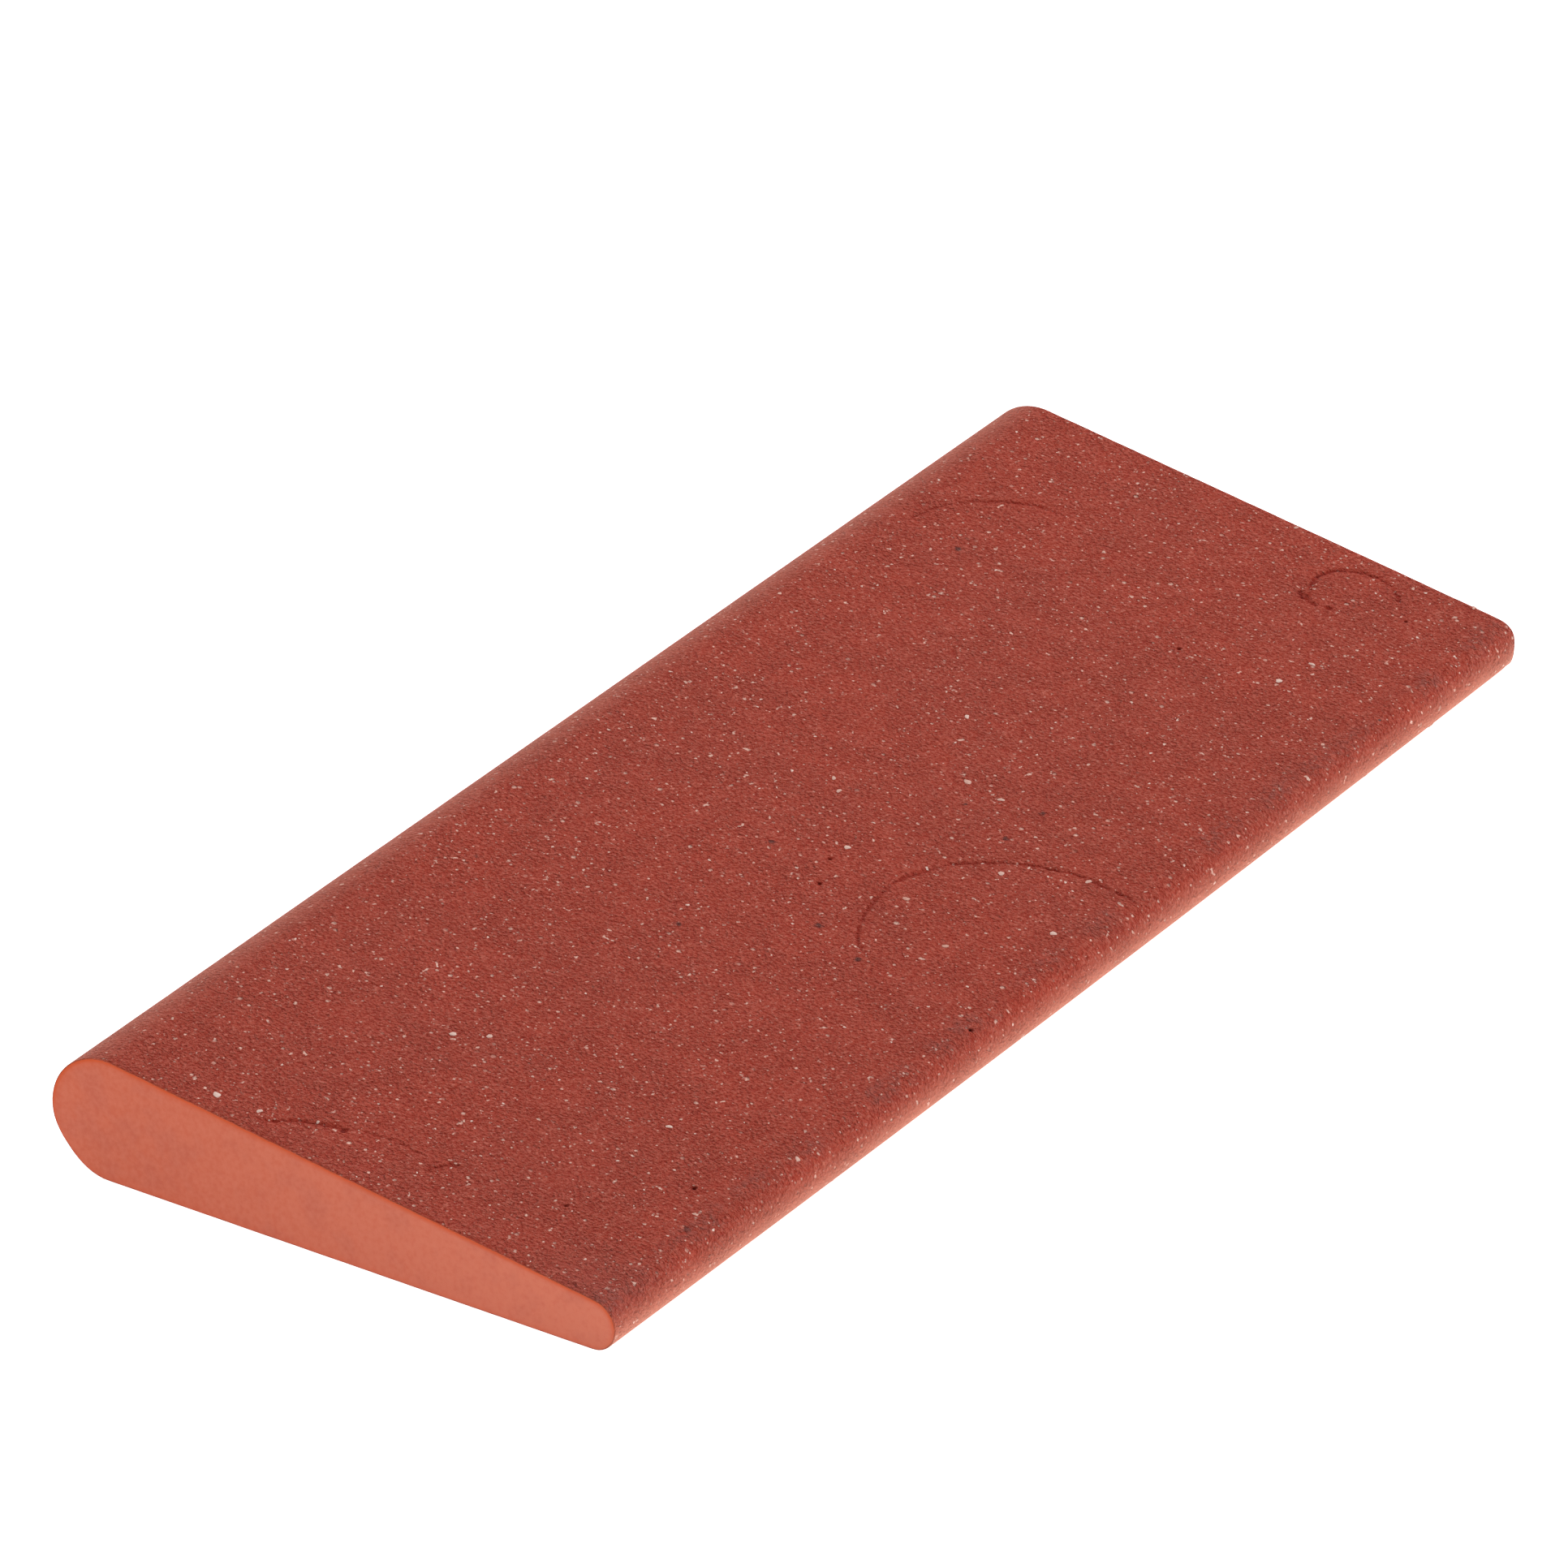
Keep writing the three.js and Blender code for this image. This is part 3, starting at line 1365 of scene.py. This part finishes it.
        smooth = graph.noise(place, 0.6 * MM, 2.0, shift=0.9)
        graph.feed(surface.inputs["Roughness"], graph.ramp(smooth, 0.3, 0.7, to=(0.74, 0.92)))
        surface.inputs["Specular IOR Level"].default_value = 0.12
        surface.inputs["Sheen Weight"].default_value = 0.07
        surface.inputs["Sheen Roughness"].default_value = 0.35
        stand = height * (1.0 - sawn) * (scuffs * 0.4 + 1.0) * (1.0 - rim * 0.2)
        stand = stand + mottle * sawn * self.SAW_RELIEF
        bump = graph.node("ShaderNodeBump")
        bump.inputs["Strength"].default_value = 1.0
        bump.inputs["Distance"].default_value = 1.0
        graph.feed(bump.inputs["Height"], stand)
        graph.feed(surface.inputs["Normal"], graph.out(bump))
        return material


@dataclass(frozen=True)
class GrainFinish:
    """The finish of the grains that stand in the skin.

    Attributes:
        name: The material's name.
        light: The lightest grains.
        dark: The darkest grains.
        roughness: How dull they are.
    """

    name: str
    light: Colour
    dark: Colour
    roughness: float

    def build(self) -> bpy.types.Material:
        """Makes the material.

        Returns:
            The material.
        """
        material, graph, surface = new_material(self.name)
        place = graph.out(graph.node("ShaderNodeTexCoord"), "Object")
        tone = graph.out(graph.node("ShaderNodeAttribute", attribute_name=TONE), "Fac")
        dusty = graph.ramp(graph.noise(place, 0.1 * MM, 2.0), 0.35, 0.7)
        colour = graph.blend(tone * 0.8 + dusty * 0.2, self.dark, self.light)
        graph.feed(surface.inputs["Base Color"], colour)
        graph.feed(
            surface.inputs["Roughness"],
            graph.ramp(dusty, 0.0, 1.0, to=(self.roughness - 0.1, self.roughness)),
        )
        surface.inputs["Specular IOR Level"].default_value = 0.4
        bump = graph.node("ShaderNodeBump")
        bump.inputs["Distance"].default_value = 0.01 * MM
        graph.feed(bump.inputs["Height"], dusty)
        graph.feed(surface.inputs["Normal"], graph.out(bump))
        return material


# ---- Studio ----


@dataclass(frozen=True)
class Studio:
    """A white light table under a dim soft sky, with one soft lamp behind, and the camera.

    Attributes:
        azimuth: The camera's place round the stone, in degrees; 0 looks along +Y.
        elevation: Its height above the horizon, in degrees.
        distance: How far it is from what it looks at.
        aim: What it looks at.
        lens: Its focal length, in millimetres, on a sensor 36 mm wide.
        table_glow: How bright the table is by itself.
        horizon: How bright the sky is at the horizon.
        zenith: How bright it is overhead.
        lamp_power: The soft lamp's power, in watts.
        lamp_width: How wide its disk is.
        lamp_distance: How far it is from the stone.
        lamp_turn: How far round the stone it is from the camera, in degrees.
        lamp_height: Its height above the horizon, in degrees.
        table_reach: How far the table goes from the stone, each way.
    """

    azimuth: float = -56.23
    elevation: float = 28.655
    distance: float = 829.7 * MM
    aim: tuple[float, float, float] = (11.9 * MM, 10.16 * MM, 0.0)
    lens: float = 311.16
    table_glow: float = 1.0
    horizon: float = 1.1
    zenith: float = 0.12
    lamp_power: float = 20.3
    lamp_width: float = 0.7
    lamp_distance: float = 1.8
    lamp_turn: float = 155
    lamp_height: float = 50
    table_reach: float = 12.0

    def _away(self, azimuth: float, elevation: float) -> Vector:
        """The direction from the stone to a place round it."""
        turn, rise = math.radians(azimuth), math.radians(elevation)
        return Vector(
            (math.sin(turn) * math.cos(rise), -math.cos(turn) * math.cos(rise), math.sin(rise))
        )

    def _table(self) -> None:
        """Makes the glowing table that the stone lies on."""
        half = self.table_reach
        mesh = bpy.data.meshes.new("table")
        corners = [(-half, -half, 0), (half, -half, 0), (half, half, 0), (-half, half, 0)]
        mesh.from_pydata(corners, [], [(0, 1, 2, 3)])
        table = bpy.data.objects.new("table", mesh)
        bpy.context.scene.collection.objects.link(table)
        material, _, surface = new_material("light_table")
        surface.inputs["Base Color"].default_value = (0.8, 0.8, 0.8, 1.0)
        surface.inputs["Roughness"].default_value = 0.9
        surface.inputs["Specular IOR Level"].default_value = 0.1
        surface.inputs["Emission Color"].default_value = (1.0, 1.0, 1.0, 1.0)
        surface.inputs["Emission Strength"].default_value = self.table_glow
        mesh.materials.append(material)

    def _sky(self) -> None:
        """Makes the sky, bright round the horizon and dimmer overhead."""
        world = bpy.data.worlds.new("soft_sky")
        world.use_nodes = True
        bpy.context.scene.world = world
        graph = Graph(world.node_tree)
        height = graph.parts(graph.out(graph.node("ShaderNodeTexCoord"), "Generated"))[2]
        glow = graph.ramp(height, 0.03, 0.7, to=(self.horizon, self.zenith), soft=True)
        backdrop = world.node_tree.nodes["Background"]
        backdrop.inputs["Color"].default_value = (1.0, 1.0, 1.0, 1.0)
        graph.feed(backdrop.inputs["Strength"], glow)

    def _lamp(self) -> None:
        """Hangs the soft lamp behind the stone, opposite the camera."""
        light = bpy.data.lights.new("soft_lamp", "AREA")
        light.shape = "DISK"
        light.size = self.lamp_width
        light.energy = self.lamp_power
        lamp = bpy.data.objects.new("soft_lamp", light)
        towards = self._away(self.azimuth + self.lamp_turn, self.lamp_height)
        lamp.location = towards * self.lamp_distance
        lamp.rotation_euler = towards.to_track_quat("Z", "Y").to_euler()
        lamp.visible_camera = False
        bpy.context.scene.collection.objects.link(lamp)

    def _camera(self) -> None:
        """Sets up the camera."""
        lens = bpy.data.cameras.new("camera")
        lens.lens = self.lens
        lens.sensor_width = 36.0
        lens.clip_start, lens.clip_end = 0.01, 100.0
        camera = bpy.data.objects.new("camera", lens)
        away = self._away(self.azimuth, self.elevation)
        camera.location = Vector(self.aim) + away * self.distance
        camera.rotation_euler = (-away).to_track_quat("-Z", "Y").to_euler()
        bpy.context.scene.collection.objects.link(camera)
        bpy.context.scene.camera = camera

    def build(self) -> None:
        """Sets up the whole studio."""
        bpy.context.scene.view_settings.view_transform = "Standard"
        self._table()
        self._sky()
        self._lamp()
        self._camera()


# ---- Putting it together ----


def place_piece(
    name: str, mesh: bpy.types.Mesh, replaces: Optional[str] = None
) -> bpy.types.Object:
    """Puts a finished mesh in the scene, riding with the stone.

    Args:
        name: The piece's name.
        mesh: Its mesh, already in place.
        replaces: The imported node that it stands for, if any.

    Returns:
        The piece.
    """
    piece = bpy.data.objects.new(name, mesh)
    bpy.context.scene.collection.objects.link(piece)
    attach(piece, ROOT_BODY)
    if replaces:
        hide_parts(replaces)
    mesh.calc_loop_triangles()
    log.info("%s: %d triangles", name, len(mesh.loop_triangles))
    return piece


def main() -> None:
    """Builds the stone, its grit and the studio, in that order."""
    logging.basicConfig(level=logging.INFO, format="%(name)s: %(message)s")
    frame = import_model()
    section = Section.from_frame(frame)
    stone = StoneBody(section, FiredStone(section).build()).build()
    pale = GrainFinish("pale_grain", (1.0, 0.74, 0.64), (0.74, 0.33, 0.24), 0.7).build()
    Grit(
        "pale_grit",
        stone,
        section,
        finish=pale,
        per_square_mm=0.25,
        smallest=0.08 * MM,
        largest=0.2 * MM,
        seed=11,
        placed=LARGE_GRAINS,
    ).build()
    dark = GrainFinish("dark_grain", (0.16, 0.07, 0.06), (0.05, 0.03, 0.03), 0.8).build()
    Grit(
        "dark_grit",
        stone,
        section,
        finish=dark,
        per_square_mm=0.012,
        smallest=0.05 * MM,
        largest=0.12 * MM,
        seed=29,
    ).build()
    Studio().build()


if __name__ == "__main__":
    main()
